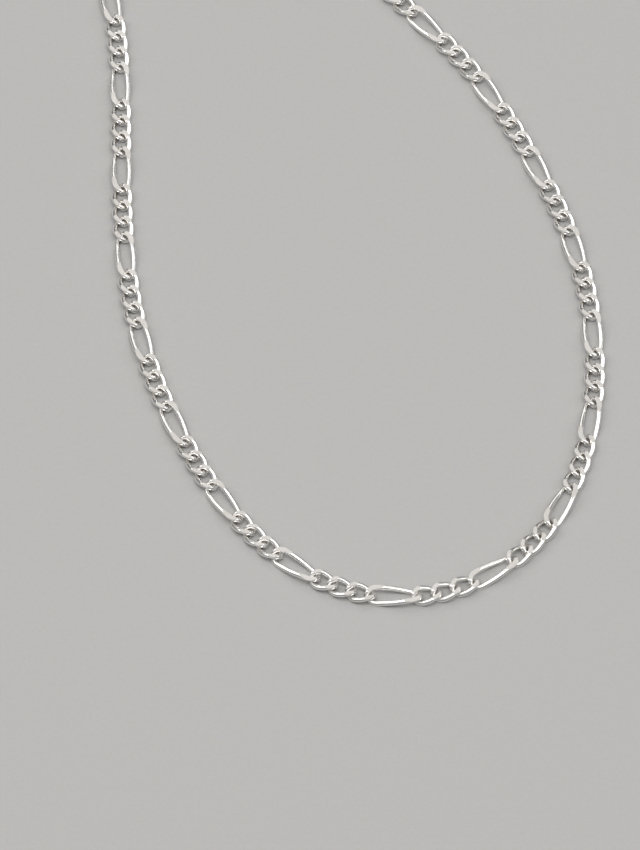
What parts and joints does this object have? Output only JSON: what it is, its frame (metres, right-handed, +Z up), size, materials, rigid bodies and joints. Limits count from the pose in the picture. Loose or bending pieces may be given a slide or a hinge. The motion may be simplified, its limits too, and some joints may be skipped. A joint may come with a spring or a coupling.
{
  "type": "figaro chain necklace",
  "caption": "Figaro chain necklace lying closed on a surface, with short and long twisted silver links ground flat and a plain barrel clasp.",
  "frame": {"origin": "centre of the laid necklace's outline, on the surface that it lies on", "axes": "+Z up from the surface, +Y from the rounded front to the clasp, which is the necklace's long direction, +X to the right as pictured"},
  "size_m": [0.094, 0.1954, 0.0034],
  "materials": {
    "links": "bright polished silver wire with softly ground, slightly matt flat faces on both sides",
    "rings": "polished silver wire",
    "clasp": "polished silver barrel"
  },
  "bodies": {
    "root": {"chain_left": "links", "chain_right": "links", "ring_left": "rings", "ring_right": "rings", "clasp": "clasp"}
  },
  "joints": []
}
